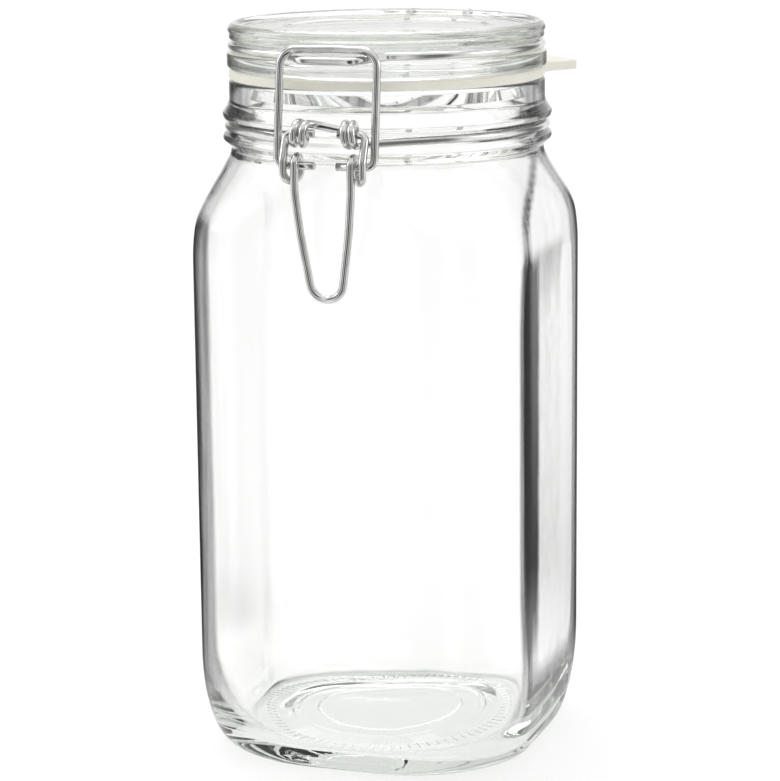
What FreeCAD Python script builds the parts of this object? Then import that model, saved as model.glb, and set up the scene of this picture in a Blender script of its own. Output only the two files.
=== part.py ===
"""Clip-top preserving jar: square glass body, glass lid, rubber gasket and wire clip.

Millimetres, +Z up, origin at the centre of the base. The clip is on the -Y side, the lid's
back hinge on the +Y side.
"""

import FreeCAD
import Part
import Sketcher
import math
import os

Vector = FreeCAD.Vector
Rotation = FreeCAD.Rotation
Placement = FreeCAD.Placement

doc = FreeCAD.newDocument("clip_top_jar")
sheet = doc.addObject("Spreadsheet::Sheet", "Size")

SIZES = [
    # glass body
    ("body_width", 104.8),
    ("corner_radius", 28.2),
    ("wall", 3.4),
    ("floor_thickness", 6.0),
    ("heel_height", 30.0),
    ("heel_inset", 5.4),
    ("foot_corner", 37.4),
    ("punt_radius", 33.0),
    ("punt_depth", 1.6),
    ("punt_slope", 4.0),
    ("shoulder_foot", 152.0),
    ("shoulder_top", 184.5),
    ("corner_slack", 0.05),
    # neck and its two ribs
    ("neck_radius", 47.2),
    ("neck_lap", 3.0),
    ("collar_radius", 47.8),
    ("mouth_radius", 42.5),
    ("rim_height", 205.3),
    ("rim_round", 1.2),
    ("rib_radius", 49.5),
    ("rib_spread", 3.2),
    ("rib_fall", 3.8),
    ("rib_flank", 0.8),
    ("rib_crown", 0.3),
    ("rib_root", 2.2),
    ("groove_opening", 78.0),
    # wires
    ("wire_radius", 1.2),
    ("wire_gap", 0.3),
    ("neck_wire_height", 191.1),
    ("neck_ring_radius", 48.3),
    # gasket
    ("gasket_thickness", 2.8),
    ("gasket_radius", 47.7),
    ("gasket_play", 0.4),
    ("tab_reach", 60.4),
    ("tab_width", 21.0),
    ("tab_root_width", 32.0),
    ("tab_corner", 3.0),
    ("tab_lap", 4.0),
    ("tab_angle", 43.0),
    # glass lid
    ("lid_height", 13.9),
    ("lid_radius", 48.0),
    ("flange_radius", 48.3),
    ("boss_radius", 41.5),
    ("boss_depth", 3.6),
    ("boss_wall", 3.2),
    ("boss_edge", 1.0),
    ("flange_edge", 1.6),
    ("bead_edge", 1.0),
    ("bead_gap", 1.7),
    ("bead_lean", 0.6),
    ("ceiling_round", 5.0),
    ("lid_thickness", 5.8),
    ("lid_ring_rise", 7.1),
    ("lid_ring_radius", 47.0),
    ("crest_round", 1.6),
    ("dish_radius", 43.8),
    ("dish_depth", 1.4),
    ("disc_radius", 30.5),
    ("disc_depth", 0.7),
    # back hinge
    ("hinge_back", 53.4),
    ("hinge_height", 217.6),
    ("hinge_half", 9.5),
    ("hinge_eye_radius", 3.0),
    ("hinge_eye_turn", 300.0),
    ("hinge_pin_half", 13.0),
    ("hinge_bend", 3.0),
    ("ring_lead", 3.0),
    ("ring_ease", 20.0),
    # front eyes, which the lever turns in
    ("eye_half", 8.2),
    ("eye_radius", 3.2),
    ("eye_lean", 60.0),
    ("eye_bite", 0.2),
    ("eye_pitch", 2.3),
    ("eye_shoulder", 2.6),
    ("eye_bend", 4.0),
    # catch on the lid ring
    ("catch_front", 53.1),
    ("catch_half", 8.0),
    ("catch_dip", 0.8),
    ("catch_root_angle", 22.0),
    ("catch_lead", 2.5),
    ("catch_bend", 4.0),
    # bail
    ("bail_half", 14.8),
    ("bail_bar_front", 50.9),
    ("bail_bar_height", 217.4),
    ("bail_top_bend", 5.0),
    ("bail_foot_bend", 2.4),
    ("pin_front", 54.9),
    ("pin_drop", 9.2),
    ("pin_end", 3.4),
    # lever
    ("stub_end", 3.6),
    ("link_half", 12.1),
    ("link_bend", 1.8),
    ("link_knee", 8.0),
    ("link_drop", 13.7),
    ("hook_half", 8.6),
    ("hook_bend", 2.65),
    ("turn_bend", 3.2),
    ("arm_straight", 18.0),
    ("arm_bend", 30.0),
    ("lever_drop", 48.0),
    ("lever_foot_half", 5.8),
    ("lever_foot_bend", 5.0),
    ("lever_foot_front", 55.0),
]

for row, (name, amount) in enumerate(SIZES, start=1):
    sheet.set("A%d" % row, name)
    sheet.set("B%d" % row, str(amount))
    sheet.setAlias("B%d" % row, name)
doc.recompute()


def size(name):
    """The value of one named cell."""
    return float(sheet.get(name))


def value(expression):
    """The number that an expression over the sheet gives now."""
    result = sheet.evalExpression(expression)
    return float(getattr(result, "Value", result))


def origin_plane(body, role):
    """One of a body's own origin planes."""
    for feature in body.Origin.OriginFeatures:
        if feature.Role == role:
            return feature
    raise ValueError(role)


def new_body(name):
    """An empty body, labelled with the name of its node and file."""
    body = doc.addObject("PartDesign::Body", name)
    body.Label = name
    return body


def new_sketch(body, name, role, height="0"):
    """A sketch on one of the body's planes, lifted off it by an expression."""
    sketch = body.newObject("Sketcher::SketchObject", name)
    sketch.AttachmentSupport = [(origin_plane(body, role), "")]
    sketch.MapMode = "FlatFace"
    if height != "0":
        sketch.setExpression(".AttachmentOffset.Base.z", height)
    return sketch


def bind(sketch, constraint, expression):
    """Add a driving constraint whose value is an expression."""
    index = sketch.addConstraint(constraint)
    sketch.setExpression("Constraints[%d]" % index, expression)


def pin_point(sketch, geometry, end, across, up):
    """Hold one end of an element at a place given by two expressions."""
    bind(sketch, Sketcher.Constraint("DistanceX", -1, 1, geometry, end, value(across)), across)
    bind(sketch, Sketcher.Constraint("DistanceY", -1, 1, geometry, end, value(up)), up)


def minor_arc(start, end, radius, side):
    """The short arc between two points, bulging right (+1) or left (-1) of its chord.

    It always runs anticlockwise, so that for side -1 it starts at the second point.
    """
    chord = end - start
    inward = Vector(-chord.y, chord.x, 0).normalize() * side
    centre = (start + end) * 0.5 + inward * math.sqrt(radius ** 2 - (chord.Length / 2) ** 2)
    near, far = (start, end) if side > 0 else (end, start)
    from_angle = math.atan2(near.y - centre.y, near.x - centre.x)
    turn = (math.atan2(far.y - centre.y, far.x - centre.x) - from_angle) % (2 * math.pi)
    circle_of_arc = Part.Circle(centre, Vector(0, 0, 1), radius)
    return Part.ArcOfCircle(circle_of_arc, from_angle, from_angle + turn)


def outline(sketch, corners, closed=True):
    """Lines and arcs through corners given as (across, up) or (across, up, radius, side).

    The radius and side belong to the arc that runs from that corner to the next one: side is
    +1 where the arc bulges to the right of its chord and -1 where it bulges to the left.
    """
    count = len(corners)
    for index in range(count if closed else count - 1):
        first = corners[index]
        second = corners[(index + 1) % count]
        start = Vector(value(first[0]), value(first[1]), 0)
        end = Vector(value(second[0]), value(second[1]), 0)
        if len(first) == 2:
            near_end = 1
            geometry = sketch.addGeometry(Part.LineSegment(start, end), False)
        else:
            near_end = 1 if first[3] > 0 else 2
            around = minor_arc(start, end, value(first[2]), first[3])
            geometry = sketch.addGeometry(around, False)
            bind(sketch, Sketcher.Constraint("Radius", geometry, value(first[2])), first[2])
        pin_point(sketch, geometry, near_end, first[0], first[1])
        pin_point(sketch, geometry, 3 - near_end, second[0], second[1])
    return sketch


def rounded_square(sketch, half, corner):
    """A square with round corners about the origin, from its half width and corner radius."""
    flat = "(%s) - (%s)" % (half, corner)
    ring = [
        (half, "-(%s)" % flat),
        (half, flat, corner, 1),
        (flat, half),
        ("-(%s)" % flat, half, corner, 1),
        ("-(%s)" % half, flat),
        ("-(%s)" % half, "-(%s)" % flat, corner, 1),
        ("-(%s)" % flat, "-(%s)" % half),
        (flat, "-(%s)" % half, corner, 1),
    ]
    return outline(sketch, ring)


def revolve(body, sketch, name, cut=False):
    """Turn a profile once round the body's Z axis, adding to it or cutting it."""
    kind = "PartDesign::Groove" if cut else "PartDesign::Revolution"
    feature = body.newObject(kind, name)
    feature.Profile = sketch
    feature.ReferenceAxis = (sketch, ["V_Axis"])
    feature.Angle = 360.0
    return feature


# ---------------------------------------------------------------- glass body

# shares of the shoulder's height, the share over which its corners open, heel angles in degrees
SHOULDER_STEPS = (0.0, 0.2, 0.4, 0.6, 0.8, 1.0)
CORNER_BLEND = 0.7
HEEL_STEPS = (0.0, 30.0, 60.0, 90.0)

# the wires' grooves: bore, and how far the mouth's edges lie out of and above the wire's centre
GROOVE = "(Size.wire_radius + Size.wire_gap)"
GROOVE_OUT = "%s * cos(Size.groove_opening * 1deg)" % GROOVE
GROOVE_UP = "%s * sin(Size.groove_opening * 1deg)" % GROOVE


def body_half(fraction):
    """Half width of the shoulder, from its foot (0) up to the neck (1)."""
    return ("Size.neck_radius + (Size.body_width / 2 - Size.neck_radius)"
            " * sin(90deg * %s)" % (1 - fraction))


def body_corner(fraction):
    """Corner radius of the shoulder: it opens into the round neck over its upper part."""
    blend = min((1 - fraction) / CORNER_BLEND, 1.0)
    ease = round(3 * blend ** 2 - 2 * blend ** 3, 4)
    return ("Size.neck_radius - Size.corner_slack"
            " + (Size.corner_radius - Size.neck_radius) * %s" % ease)


def jar_section(body, label, height, half, corner):
    """One horizontal section of the jar's outside or inside."""
    sketch = new_sketch(body, label, "XY_Plane", height)
    return rounded_square(sketch, half, corner)


def loft(body, name, sections, cut=False):
    """Join sections smoothly, adding to the body or cutting it."""
    kind = "PartDesign::SubtractiveLoft" if cut else "PartDesign::AdditiveLoft"
    feature = body.newObject(kind, name)
    feature.Profile = sections[0]
    feature.Sections = sections[1:]
    feature.Ruled = False
    return feature




def jar_space(body, label, inset, floor, cut):
    """The jar's outer form, or its inside: heel, straight sides and shoulder."""
    half = "Size.body_width / 2 - %s" % inset
    corner = "Size.corner_radius - %s" % inset
    heel_top = "Size.heel_height"
    heel = []
    for step in HEEL_STEPS:
        height = "%s + (Size.heel_height - (%s)) * (1 - sin(%sdeg))" % (floor, floor, step)
        spread = "(1 - cos(%sdeg))" % step
        heel.append(jar_section(
            body, "%s_heel_%d" % (label, step), height,
            "%s - Size.heel_inset * %s" % (half, spread),
            "%s + (Size.foot_corner - Size.corner_radius) * %s" % (corner, spread)))
    loft(body, label + "_heel", heel, cut)
    doc.recompute()
    sides = jar_section(body, label + "_sides", heel_top, half, corner)
    kind = "PartDesign::Pocket" if cut else "PartDesign::Pad"
    prism = body.newObject(kind, label + "_prism")
    prism.Profile = sides
    prism.setExpression("Length", "Size.shoulder_foot - Size.heel_height")
    prism.Reversed = cut
    doc.recompute()
    shoulder = []
    for step in SHOULDER_STEPS:
        height = "Size.shoulder_foot + (Size.shoulder_top - Size.shoulder_foot) * %s" % step
        shoulder.append(jar_section(
            body, "%s_shoulder_%d" % (label, round(step * 10)), height,
            "%s - %s" % (body_half(step), inset), "%s - %s" % (body_corner(step), inset)))
    loft(body, label + "_shoulder", shoulder, cut)
    doc.recompute()


def neck_outside():
    """The neck's outline from its axis: two ribs with the wire's groove between them."""
    wire_level = "Size.neck_wire_height"
    lip = "Size.neck_ring_radius - %s" % GROOVE_OUT
    upper = "%s + Size.rib_spread" % wire_level
    lower = "%s - Size.rib_spread" % wire_level
    flank = "Size.rib_radius - Size.rib_crown"
    return [
        ("0", "Size.shoulder_top - Size.neck_lap"),
        ("Size.neck_radius - Size.neck_lap", "Size.shoulder_top - Size.neck_lap"),
        ("Size.neck_radius", "Size.shoulder_top"),
        ("Size.neck_radius", "%s - Size.rib_root" % lower),
        (flank, "%s - Size.rib_flank" % lower),
        ("Size.rib_radius", lower),
        (flank, "%s + Size.rib_flank" % lower),
        (lip, "%s - %s" % (wire_level, GROOVE_UP), GROOVE, -1),
        (lip, "%s + %s" % (wire_level, GROOVE_UP)),
        (flank, "%s - Size.rib_flank" % upper),
        ("Size.rib_radius", upper),
        (flank, "%s + Size.rib_flank" % upper),
        ("Size.collar_radius", "%s + Size.rib_fall" % upper),
        ("Size.collar_radius", "Size.rim_height - Size.rim_round", "Size.rim_round", 1),
        ("Size.collar_radius - Size.rim_round", "Size.rim_height"),
        ("0", "Size.rim_height"),
    ]


def mouth_inside():
    """The bore of the neck, with a rounded inner edge at the rim."""
    return [
        ("0", "Size.shoulder_top - Size.neck_lap"),
        ("Size.mouth_radius", "Size.shoulder_top - Size.neck_lap"),
        ("Size.mouth_radius", "Size.rim_height - Size.rim_round", "Size.rim_round", -1),
        ("Size.mouth_radius + Size.rim_round", "Size.rim_height"),
        ("Size.mouth_radius + Size.rim_round", "Size.rim_height + Size.neck_lap"),
        ("0", "Size.rim_height + Size.neck_lap"),
    ]


def punt():
    """The shallow hollow under the base, which leaves a ring to stand on."""
    return [
        ("0", "-Size.punt_depth"),
        ("Size.punt_radius", "-Size.punt_depth"),
        ("Size.punt_radius", "0"),
        ("Size.punt_radius - Size.punt_slope", "Size.punt_depth"),
        ("0", "Size.punt_depth"),
    ]


jar = new_body("jar_body")
jar_space(jar, "outside", "0", "0", False)
neck = outline(new_sketch(jar, "neck_profile", "XZ_Plane"), neck_outside())
revolve(jar, neck, "neck")
doc.recompute()
full_volume = jar.Shape.Volume
jar_space(jar, "inside", "Size.wall", "Size.floor_thickness", True)
bore = outline(new_sketch(jar, "bore_profile", "XZ_Plane"), mouth_inside())
revolve(jar, bore, "mouth", cut=True)
hollow = outline(new_sketch(jar, "punt_profile", "XZ_Plane"), punt())
revolve(jar, hollow, "base_hollow", cut=True)
doc.recompute()
print("jar full %.0f mm3, glass %.0f mm3" % (full_volume, jar.Shape.Volume))


# ---------------------------------------------------------------- glass lid

def lid_outside():
    """Half section of the lid: plug under it, flange, ring groove, crest and dished top."""
    under = "Size.rim_height + Size.gasket_thickness"
    top = "%s + Size.lid_height" % under
    ring = "%s + Size.lid_ring_rise" % under
    lip = "Size.lid_ring_radius - %s" % GROOVE_OUT
    floor = "%s - Size.dish_depth" % top
    disc = "%s - Size.disc_depth" % floor
    ceiling = "%s - Size.lid_thickness" % disc
    bore = "Size.boss_radius - Size.boss_wall"
    foot = "%s - Size.boss_depth" % under
    return [
        ("0", ceiling),
        ("%s - Size.ceiling_round" % bore, ceiling, "Size.ceiling_round", -1),
        (bore, "%s - Size.ceiling_round" % ceiling),
        (bore, foot),
        ("Size.boss_radius - Size.boss_edge", foot, "Size.boss_edge", 1),
        ("Size.boss_radius", "%s + Size.boss_edge" % foot),
        ("Size.boss_radius", under),
        ("Size.flange_radius - Size.flange_edge", under, "Size.flange_edge", 1),
        ("Size.flange_radius", "%s + Size.flange_edge" % under),
        ("Size.flange_radius", "%s - Size.bead_gap - Size.bead_edge" % ring, "Size.bead_edge", 1),
        ("Size.flange_radius - Size.bead_edge", "%s - Size.bead_gap" % ring),
        (lip, "%s - %s" % (ring, GROOVE_UP), GROOVE, -1),
        (lip, "%s + %s" % (ring, GROOVE_UP)),
        ("Size.lid_radius - Size.bead_lean", "%s + Size.bead_gap" % ring),
        ("Size.lid_radius", "%s - Size.crest_round" % top, "Size.crest_round", 1),
        ("Size.lid_radius - Size.crest_round", top),
        ("Size.dish_radius + Size.crest_round", top, "Size.crest_round", 1),
        ("Size.dish_radius", floor),
        ("Size.disc_radius + Size.disc_depth", floor),
        ("Size.disc_radius", disc),
        ("0", disc),
    ]


lid = new_body("lid")
lid_profile = outline(new_sketch(lid, "lid_profile", "XZ_Plane"), lid_outside())
revolve(lid, lid_profile, "lid_turned")
doc.recompute()
print("lid %.0f mm3" % lid.Shape.Volume)


# ---------------------------------------------------------------- rubber gasket

def circle(sketch, radius):
    """A circle about the sketch's origin with a radius given by an expression."""
    around = Part.Circle(Vector(0, 0, 0), Vector(0, 0, 1), value(radius))
    geometry = sketch.addGeometry(around, False)
    sketch.addConstraint(Sketcher.Constraint("Coincident", geometry, 3, -1, 1))
    bind(sketch, Sketcher.Constraint("Radius", geometry, value(radius)), radius)


def pad(body, sketch, name, length):
    """Raise a sketch by a length given by an expression."""
    feature = body.newObject("PartDesign::Pad", name)
    feature.Profile = sketch
    feature.setExpression("Length", length)
    return feature


gasket = new_body("gasket")
ring_sketch = new_sketch(gasket, "gasket_ring", "XY_Plane", "Size.rim_height")
circle(ring_sketch, "Size.gasket_radius")
circle(ring_sketch, "Size.boss_radius + Size.gasket_play")
pad(gasket, ring_sketch, "gasket_ring_pad", "Size.gasket_thickness")
doc.recompute()
tab_sketch = new_sketch(gasket, "gasket_tab", "XY_Plane", "Size.rim_height")
outline(tab_sketch, [
    ("Size.gasket_radius - Size.tab_lap", "-Size.tab_root_width / 2"),
    ("Size.tab_reach - Size.tab_corner", "-Size.tab_width / 2", "Size.tab_corner", 1),
    ("Size.tab_reach", "Size.tab_corner - Size.tab_width / 2"),
    ("Size.tab_reach", "Size.tab_width / 2 - Size.tab_corner", "Size.tab_corner", 1),
    ("Size.tab_reach - Size.tab_corner", "Size.tab_width / 2"),
    ("Size.gasket_radius - Size.tab_lap", "Size.tab_root_width / 2"),
])
pad(gasket, tab_sketch, "gasket_tab_pad", "Size.gasket_thickness")
gasket.Placement = Placement(Vector(0, 0, 0), Rotation(Vector(0, 0, 1), size("tab_angle")))
gasket.setExpression(".Placement.Rotation.Angle", "Size.tab_angle")
doc.recompute()
print("gasket %.0f mm3" % gasket.Shape.Volume)


# ---------------------------------------------------------------- bent wire

def bent_edges(points, bends):
    """Straight runs through points, with a tangent arc at each inner point."""
    edges = []
    start = points[0]
    for before, corner, after, bend in zip(points, points[1:], points[2:], bends):
        back = (before - corner).normalize()
        ahead = (after - corner).normalize()
        half_turn = (math.pi - back.getAngle(ahead)) / 2
        reach = bend * math.tan(half_turn)
        first = corner + back * reach
        last = corner + ahead * reach
        inward = (back + ahead).normalize()
        middle = corner + inward * (bend / math.cos(half_turn) - bend)
        if (first - start).Length > 1e-6:
            edges.append(Part.LineSegment(start, first).toShape())
        edges.append(Part.Arc(first, middle, last).toShape())
        start = last
    if (points[-1] - start).Length > 1e-6:
        edges.append(Part.LineSegment(start, points[-1]).toShape())
    return edges


def mirrored(points):
    """The same points on the -X side, in the opposite order."""
    return [Vector(-point.x, point.y, point.z) for point in reversed(points)]


def swept(edges, radius):
    """Round wire along a path of joined edges."""
    path = Part.Wire(edges)
    first = path.OrderedEdges[0]
    start = first.valueAt(first.FirstParameter)
    along = first.tangentAt(first.FirstParameter)
    section = Part.Wire([Part.makeCircle(radius, start, along)])
    solid = path.makePipeShell([section], True, True)
    expected = math.pi * radius ** 2 * path.Length
    print("wire %.1f mm, volume ratio %.4f" % (path.Length, abs(solid.Volume) / expected))
    return solid


def wire_feature(name, shape, place=None):
    """One bent wire as an object of the document."""
    feature = doc.addObject("Part::Feature", name)
    feature.Label = name
    feature.Shape = shape
    feature.Placement = place or Placement()
    return feature


def tangent_point(radius, across, out):
    """Where the line from (across, out) touches a circle about the axis, further across."""
    reach = math.hypot(across, out)
    angle = math.atan2(across, out) + math.acos(radius / reach)
    return radius * math.sin(angle), radius * math.cos(angle)


def eye_ring(radius, thickness, across, out, up):
    """One closed turn of wire, of a given radius, about an axis along X."""
    ring = Part.makeTorus(radius, thickness)
    ring.Placement = Placement(Vector(across, out, up), Rotation(Vector(0, 1, 0), 90))
    return ring


wire = size("wire_radius")
eye_axis_front = size("rib_radius") + size("wire_gap") + wire + size("eye_radius")
eye_lean = math.radians(size("eye_lean"))
eye_reach = size("eye_radius") - size("eye_bite")
eye_axis_height = size("neck_wire_height") + eye_reach * math.sin(eye_lean)
bridge_front = eye_axis_front - eye_reach * math.cos(eye_lean)


def neck_wire():
    """Ring in the neck's groove, eyes for the lever at the front and for the lid behind."""
    level = size("neck_wire_height")
    ring = size("neck_ring_radius")
    eye = size("hinge_eye_radius")
    riser_out = size("hinge_back") - eye
    side = size("hinge_half")
    centre = Vector(side, size("hinge_back"), size("hinge_height"))
    turn = math.radians(size("hinge_eye_turn"))

    def on_eye(angle):
        return centre + Vector(0, -eye * math.cos(angle), eye * math.sin(angle))

    loop = Part.Arc(on_eye(turn), on_eye(turn / 2), on_eye(0)).toShape()
    back_x, back_y = tangent_point(ring, side, riser_out)
    shoulder = size("eye_half") + size("eye_shoulder")
    front_x, front_y = tangent_point(ring, shoulder, bridge_front)
    riser = bent_edges(
        [on_eye(0), Vector(side, riser_out, level), Vector(back_x, back_y, level)],
        [size("hinge_bend")])
    side_arc = Part.Arc(
        Vector(back_x, back_y, level), Vector(ring, 0, level),
        Vector(front_x, -front_y, level)).toShape()
    front = [Vector(front_x, -front_y, level), Vector(shoulder, -bridge_front, level)]
    bridge = bent_edges(front + mirrored(front), [size("eye_bend")] * 2)
    half = [loop] + riser + [side_arc]
    other = [edge.mirror(Vector(0, 0, 0), Vector(1, 0, 0)) for edge in reversed(half)]
    pieces = [swept(half + bridge + other, wire)]
    for hand in (-1, 1):
        for step in (-0.5, 0.5):
            across = hand * size("eye_half") + step * size("eye_pitch")
            pieces.append(eye_ring(size("eye_radius"), wire, across, -eye_axis_front,
                                   eye_axis_height))
    return pieces[0].multiFuse(pieces[1:])


def lid_wire():
    """Ring in the lid's groove, with the catch in front and the hinge pin behind."""
    level = size("rim_height") + size("gasket_thickness") + size("lid_ring_rise")
    ring = size("lid_ring_radius")
    pin_half = size("hinge_pin_half")
    pin_out = size("hinge_back")
    back_x, back_y = tangent_point(ring, pin_half, pin_out)
    back = Vector(back_x, back_y, level)
    pin = Vector(pin_half, pin_out, size("hinge_height"))
    lead = (Vector(pin_half, pin_out, level) - back).normalize() * size("ring_lead")
    behind = [back, back + lead, pin]
    root = math.radians(size("catch_root_angle"))
    front = Vector(ring * math.sin(root), -ring * math.cos(root), level)
    along = Vector(-math.cos(root), -math.sin(root), 0) * size("catch_lead")
    catch = Vector(size("catch_half"), -size("catch_front"), level - size("catch_dip"))
    ahead = [front, front + along, catch]
    behind_edges = bent_edges(
        behind + mirrored(behind),
        [size("ring_ease"), size("hinge_bend"), size("hinge_bend"), size("ring_ease")])
    ahead_edges = bent_edges(ahead + mirrored(ahead), [size("catch_bend")] * 4)
    right = Part.Arc(front, Vector(ring, 0, level), back).toShape()
    left = right.mirror(Vector(0, 0, 0), Vector(1, 0, 0))
    return swept([right] + behind_edges + [left] + ahead_edges, wire)


def lever():
    """The lever, from one stub through an eye round the hooks and the foot to the other."""
    pin_out = size("pin_front") - eye_axis_front
    clear = 2 * wire + size("wire_gap")
    front = -pin_out - clear
    rear = -pin_out + clear
    link = size("link_half")
    hook = size("hook_half")
    top = clear - size("pin_drop")
    side = [
        Vector(size("stub_end"), 0, 0),
        Vector(link, 0, 0),
        Vector(link, front, -size("link_knee")),
        Vector(link, front, -size("link_drop")),
        Vector(hook, rear, -size("link_drop")),
        Vector(hook, rear, top),
        Vector(hook, front, top),
        Vector(hook, front, -size("arm_straight")),
        Vector(size("lever_foot_half"), eye_axis_front - size("lever_foot_front"),
               -size("lever_drop")),
    ]
    bends = [
        size("link_bend"), size("turn_bend"), size("turn_bend"), size("turn_bend"),
        size("hook_bend"), size("hook_bend"), size("arm_bend"), size("lever_foot_bend"),
    ]
    return swept(bent_edges(side + mirrored(side), bends + bends[::-1]), wire)


wire_feature("neck_wire", neck_wire())
wire_feature("lid_wire", lid_wire())
lever_place = Placement(Vector(0, -eye_axis_front, eye_axis_height), Rotation())
wire_feature("lever", lever(), lever_place)


# ---------------------------------------------------------------- bail

def bail_path(sketch, length):
    """Open path in the bail's own plane: pin, leg, bar, leg, pin."""
    foot = "Size.bail_foot_bend"
    bend = "Size.bail_top_bend"
    half = "Size.bail_half"
    outline(sketch, [
        ("Size.pin_end", "0"),
        ("%s - %s" % (half, foot), "0", foot, 1),
        (half, foot),
        (half, "%s - %s" % (length, bend), bend, 1),
        ("%s - %s" % (half, bend), length),
        ("%s - %s" % (bend, half), length, bend, 1),
        ("-%s" % half, "%s - %s" % (length, bend)),
        ("-%s" % half, foot, foot, 1),
        ("%s - %s" % (foot, half), "0"),
        ("-Size.pin_end", "0"),
    ], closed=False)


pin_height = eye_axis_height - size("pin_drop")
bail_rise = size("bail_bar_height") - pin_height
bail_lean = size("pin_front") - size("bail_bar_front")
# the bail's length follows from the places of its pins and its bar
sheet.set("D1", "%.9f" % math.hypot(bail_rise, bail_lean))
sheet.setAlias("D1", "bail_length")
doc.recompute()
bail = new_body("bail")
path_sketch = new_sketch(bail, "bail_path", "XZ_Plane")
bail_path(path_sketch, "Size.bail_length")
section_sketch = new_sketch(bail, "bail_section", "YZ_Plane", "Size.pin_end")
circle(section_sketch, "Size.wire_radius")
pipe = bail.newObject("PartDesign::AdditivePipe", "bail_pipe")
pipe.Profile = section_sketch
pipe.Spine = path_sketch
doc.recompute()
bail.Placement = Placement(
    Vector(0, -size("pin_front"), pin_height),
    Rotation(Vector(1, 0, 0), -math.degrees(math.atan2(bail_lean, bail_rise))))
doc.recompute()
print("bail %.1f mm3" % bail.Shape.Volume)


# ---------------------------------------------------------------- checks and files

PARTS = ["jar_body", "lid", "gasket", "neck_wire", "lid_wire", "bail", "lever"]
for item in doc.Objects:
    if "Invalid" in item.State or "Error" in item.State:
        raise RuntimeError("%s is %s" % (item.Name, item.State))
os.makedirs("parts", exist_ok=True)
for name in PARTS:
    shape = doc.getObject(name).Shape
    if shape.isNull() or not shape.isValid() or len(shape.Solids) != 1:
        raise RuntimeError("%s has %d solids" % (name, len(shape.Solids)))
    box = shape.BoundBox
    print("%-10s %9.0f mm3  x %.1f..%.1f  y %.1f..%.1f  z %.1f..%.1f" % (
        name, shape.Volume, box.XMin, box.XMax, box.YMin, box.YMax, box.ZMin, box.ZMax))
    shape.exportStep("parts/%s.step" % name)
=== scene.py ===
"""Clip-top storage jar: square glass body, glass lid, rubber ring and wire lever clip.

Metres, +Z up, the jar standing on z = 0 at the origin. The clip is on the -Y side and the
lid's hinge on the +Y side.
"""

import logging
import math
from dataclasses import dataclass
from enum import Enum
from typing import Sequence

import bmesh
import bpy
from mathutils import Matrix, Vector


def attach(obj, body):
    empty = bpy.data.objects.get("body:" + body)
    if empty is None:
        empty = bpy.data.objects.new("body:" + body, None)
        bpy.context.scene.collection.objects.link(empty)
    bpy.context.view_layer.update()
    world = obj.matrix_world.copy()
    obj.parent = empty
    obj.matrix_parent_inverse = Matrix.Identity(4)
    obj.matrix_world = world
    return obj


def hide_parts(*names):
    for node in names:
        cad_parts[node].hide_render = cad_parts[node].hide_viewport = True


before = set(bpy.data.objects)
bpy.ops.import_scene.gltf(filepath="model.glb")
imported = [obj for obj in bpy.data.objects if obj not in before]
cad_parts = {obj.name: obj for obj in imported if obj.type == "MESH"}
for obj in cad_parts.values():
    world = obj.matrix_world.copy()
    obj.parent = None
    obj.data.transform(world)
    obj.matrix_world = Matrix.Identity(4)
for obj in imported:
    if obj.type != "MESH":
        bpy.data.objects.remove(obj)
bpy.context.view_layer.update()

log = logging.getLogger("jar")
MM = 0.001
HAIR = 1e-6
WHITE = (1.0, 1.0, 1.0, 1.0)
Outline = list[tuple[float, float]]
# the two ends of a range, then the value at one of them
Ramp = tuple[float, float, float]
Colour = tuple[float, float, float, float]
Socket = bpy.types.NodeSocket


class Side(Enum):
    """The side of the jar's middle that a wire's end is on."""

    LEFT = -1
    RIGHT = 1


# ------------------------------------------------------------------ shared shaping


def clamped(value: float) -> float:
    """Keep a value between 0 and 1."""
    return min(max(value, 0.0), 1.0)


def drawn_in(rise: float) -> float:
    """A quarter circle's inset, from 1 at the foot of its rise to 0 at the top."""
    return 1.0 - math.sqrt(max(0.0, 1.0 - (1.0 - clamped(rise)) ** 2))


def filleted(corners: Sequence[tuple[float, float, float]], step: float = 15.0) -> Outline:
    """Round the corners of an open outline.

    Args:
        corners: Each corner as (radius from the axis, height, rounding radius).
        step: Largest angle between points on a rounded corner, in degrees.

    Returns:
        The outline's points.
    """
    points: Outline = []
    last = len(corners) - 1
    for index, (across, up, rounding) in enumerate(corners):
        here = Vector((across, up))
        if index in (0, last) or rounding <= 0:
            points.append((across, up))
            continue
        back = (Vector(corners[index - 1][:2]) - here).normalized()
        ahead = (Vector(corners[index + 1][:2]) - here).normalized()
        half_turn = (math.pi - back.angle(ahead)) / 2
        reach = rounding * math.tan(half_turn)
        centre = here + (back + ahead).normalized() * (rounding / math.cos(half_turn))
        first = here + back * reach - centre
        turn = 2 * half_turn
        if first.x * ahead.y - first.y * ahead.x < 0:
            turn = -turn
        count = max(2, math.ceil(abs(math.degrees(turn)) / step))
        for part in range(count + 1):
            swung = Matrix.Rotation(turn * part / count, 2) @ first
            points.append((centre.x + swung.x, centre.y + swung.y))
    return points


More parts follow.
